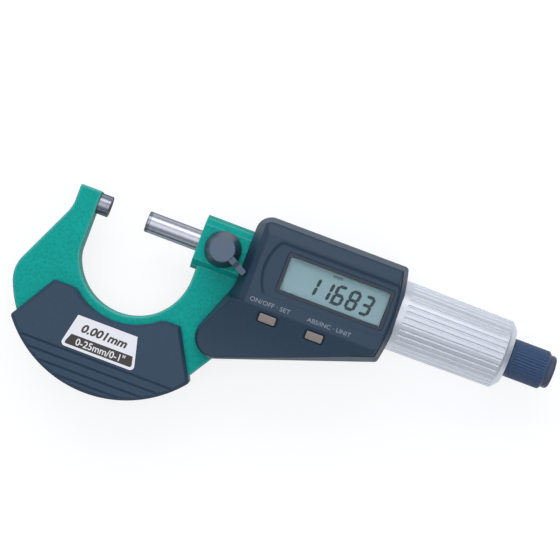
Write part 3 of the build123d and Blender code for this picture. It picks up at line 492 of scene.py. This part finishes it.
# The glass pales towards its lower side.
shaded_height = 5.6 * MM
lcd_film, tree, shader, place = new_finish("lcd_film")
haze = group_node(tree, skin, Place=place, Grain=0.10 * MM)
level = put(tree, "ShaderNodeSeparateXYZ", {0: place}).outputs["Y"]
upward = ramp(tree, level, 0.0, 1.0, start=-shaded_height, end=shaded_height)
lit = between(tree, upward, tint(160, 191, 200), tint(143, 176, 182))
feed(tree, shader.inputs, {
    "Base Color": between(tree, ramp(tree, haze["Patches"], 0.0, 0.2), lit, tint(166, 193, 200)),
    "Roughness": ramp(tree, haze["Patches"], 0.40, 0.50),
})
dress(lcd_film, "lcd_panel")

lcd_dark = printed_finish("lcd_segment", tint(24, 50, 56), tint(32, 60, 66), roughness=(0.40, 0.50))
glass_low, glass_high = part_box("lcd_panel")
figure_sink, figure_rise = 0.01 * MM, 0.06 * MM
glass_middle, glass_head = (glass_low.x + glass_high.x) / 2 / MM, glass_high.y / MM
digit_foot, digit_lean = glass_low.y / MM + 2.65, 0.15
digit_height, digit_width, stroke, segment_gap = 6.3, 3.4, 0.95, 0.05
tip_share = 0.4
digit_steps = (-7.1, -3.0, 1.05, 5.3, 9.55)
lit_bars = {"1": "bc", "6": "acdefg", "8": "abcdefg", "3": "abcdg"}


def digit(figure, centre):
    """The bars of one figure, as six-cornered outlines in millimetres that lean to the right."""
    half, wide = digit_height / 2 - stroke / 2, digit_width - stroke
    level, upright = (wide - segment_gap, False), (half - segment_gap, True)
    places = {
        "a": (0, 2 * half, *level),
        "b": (wide / 2, 1.5 * half, *upright),
        "c": (wide / 2, 0.5 * half, *upright),
        "d": (0, 0, *level),
        "e": (-wide / 2, 0.5 * half, *upright),
        "f": (-wide / 2, 1.5 * half, *upright),
        "g": (0, half, *level),
    }
    bars = []
    for bar in lit_bars[figure]:
        x, y, length, stands = places[bar]
        tip, shoulder = length / 2, length / 2 - stroke * tip_share
        ends = [(-tip, 0), (-shoulder, -stroke / 2), (shoulder, -stroke / 2),
                (tip, 0), (shoulder, stroke / 2), (-shoulder, stroke / 2)]
        turned = [(-v, u) if stands else (u, v) for u, v in ends]
        placed = [(x + u, y + v + stroke / 2) for u, v in turned]
        bars.append([(centre + u + digit_lean * v, digit_foot + v) for u, v in placed])
    return bars


outlines = []
for figure, step in zip("11683", digit_steps):
    outlines += digit(figure, glass_middle + step)
point_head = digit_foot + 0.6
outlines.append([(glass_middle - 0.6, digit_foot), (glass_middle - 0.05, digit_foot),
                 (glass_middle + 0.05, point_head), (glass_middle - 0.5, point_head)])
figure_back, figure_front = glass_high.z - figure_sink, glass_high.z + figure_rise
segments = [slab("bar", outline, figure_back, figure_front, lcd_dark, "body") for outline in outlines]
bpy.ops.object.select_all(action="DESELECT")
for piece in segments:
    piece.select_set(True)
bpy.context.view_layer.objects.active = segments[0]
bpy.ops.object.join()
segments[0].name = "lcd_figures"
words("lcd_unit", "mm", (glass_middle - 1.95, glass_head - 2.95, glass_middle + 0.85, glass_head - 2.1),
      figure_back, figure_sink + figure_rise, lcd_dark, "body", heavy=0.01)


# Display window and its lettering
# A clear plate is cemented in the panel's opening, with a dark border printed round its rim. The names of
# the keys are printed in pale grey on the raised face above them.
window_clear, tree, shader, place = new_finish("window_clear")
film = group_node(tree, skin, Place=place, Grain=0.5 * MM)
feed(tree, shader.inputs, {
    "Roughness": ramp(tree, film["Patches"], 0.02, 0.06),
    "Base Color": between(tree, film["Patches"], tint(246, 250, 252), tint(252, 254, 255)),
    "Transmission Weight": 1.0,
    "IOR": 1.12,
})
dress(window_clear, "display_window")


def border(name, outside, inside, rounding, bottom, top, finish, body):
    """A thin flat frame between a rectangle with rounded corners and a plain one inside it."""
    loops = []
    for low, high in (outside, inside):
        bpy.ops.object.select_all(action="DESELECT")
        bpy.ops.mesh.primitive_circle_add(vertices=4, radius=1, fill_type="NOTHING")
        loop = bpy.context.object
        corners = ((low.x, low.y), (high.x, low.y), (high.x, high.y), (low.x, high.y))
        for vertex, (x, y) in zip(loop.data.vertices, corners):
            vertex.co = (x, y, bottom)
        loops.append(loop)
    enter(loops[0])
    bpy.ops.mesh.bevel(offset=rounding, segments=6, affect="VERTICES")
    bpy.ops.object.mode_set(mode="OBJECT")
    loops[1].select_set(True)
    bpy.ops.object.join()
    enter(loops[0])
    bpy.ops.mesh.fill()
    bpy.ops.mesh.select_all(action="SELECT")
    bpy.ops.mesh.extrude_region_move(TRANSFORM_OT_translate={"value": (0, 0, top - bottom)})
    bpy.ops.object.mode_set(mode="OBJECT")
    return settle(loops[0], name, finish, body)


border_ink = printed_finish("window_border_ink", tint(24, 44, 62), tint(30, 50, 68), roughness=(0.40, 0.52))
border_width, border_corner = Vector((0.95, 0.95, 0)) * MM, 0.8 * MM
window_low, window_high = (Vector(corner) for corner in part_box("display_window"))
border("window_border", (window_low, window_high), (window_low + border_width, window_high - border_width),
       border_corner, window_high.z - print_sink, window_high.z + print_rise, border_ink, "body")

ink = printed_finish("key_ink", tint(128, 138, 155), tint(142, 151, 166), roughness=(0.45, 0.6))
name_gap, name_height = 1.9, 1.3
name_sink, name_thickness = 0.01 * MM, 0.02 * MM
face_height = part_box("housing_front")[1].z
for name, text, key, start, length in (
    ("name_power_set", "ON/OFF · SET", "button_power_set", -6.8, 12.4),
    ("name_mode_unit", "ABS/INC · UNIT", "button_mode_unit", -3.7, 13.5),
):
    key_low, key_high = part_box(key)
    left = (key_low.x + key_high.x) / 2 / MM + start
    foot = key_high.y / MM + name_gap
    words(name, text, (left, foot, left + length, foot + name_height), face_height - name_sink,
          name_thickness, ink, "body", heavy=0.006)


# Keys
# Two soft moulded rubber keys stand in the dishes of the housing's lower face. A flange inside the shell
# keeps each in its opening, over its switch on the board.
key_rubber = moulded_plastic("key_rubber", tint(146, 137, 134), tint(158, 149, 145), tint(184, 176, 170),
                             grain=0.18 * MM, roughness=(0.50, 0.62), depth=0.2, edge_radius=0.3 * MM)
dress(key_rubber, "button_power_set", "button_mode_unit")


# Battery
# A steel-cased button cell lies between two sprung contacts, behind a moulded cap that a coin turns in its
# seat, with a flat rubber ring under it.
coin_plastic = moulded_plastic("coin_plastic", tint(46, 64, 88), tint(54, 72, 96), tint(96, 112, 134),
                               grain=0.30 * MM, roughness=(0.36, 0.48), depth=0.2, edge_radius=0.3 * MM)
spring_steel = turned_metal("spring_steel", tint(150, 152, 160), tint(176, 178, 186), tint(200, 202, 208),
                            roughness=(0.24, 0.36), pitch=0.15 * MM, depth=0.10)
dress(bright_steel, "battery")
dress(coin_plastic, "battery_cap")
dress(rubber, "battery_seal")
dress(spring_steel, "battery_contact_plus", "battery_contact_minus")


# Thimble
# A turned drum with broad lands between its flutes, satin chromed, carried on the spindle by a brass taper
# collar.
satin_chrome = turned_metal("satin_chrome", tint(207, 213, 222), tint(215, 220, 228), tint(228, 231, 238),
                            roughness=(0.44, 0.50), pitch=0.22 * MM, depth=0.05)
dress(satin_chrome, "thimble")
dress(brass, "thimble_collar")


# Ratchet
# A knurled plastic knob with a moulded cap turns on a steel stem. Inside, a sprung ring with saw teeth
# slips on the stem's flange when the measuring force is reached.
ratchet_plastic = moulded_plastic("ratchet_plastic", tint(46, 73, 110), tint(56, 83, 120), tint(92, 116, 150),
                                  grain=0.20 * MM, roughness=(0.34, 0.46), depth=0.2, edge_radius=0.15 * MM)
end_plastic = moulded_plastic("end_plastic", tint(64, 76, 98), tint(74, 86, 108), tint(98, 110, 132),
                              grain=0.20 * MM, roughness=(0.36, 0.48), depth=0.2, edge_radius=0.15 * MM)
dress(ratchet_plastic, "ratchet_knob")
dress(end_plastic, "ratchet_cap")
dress(ground_steel, "ratchet_stem", "ratchet_ring")
dress(spring_steel, "ratchet_spring", "ratchet_clip")
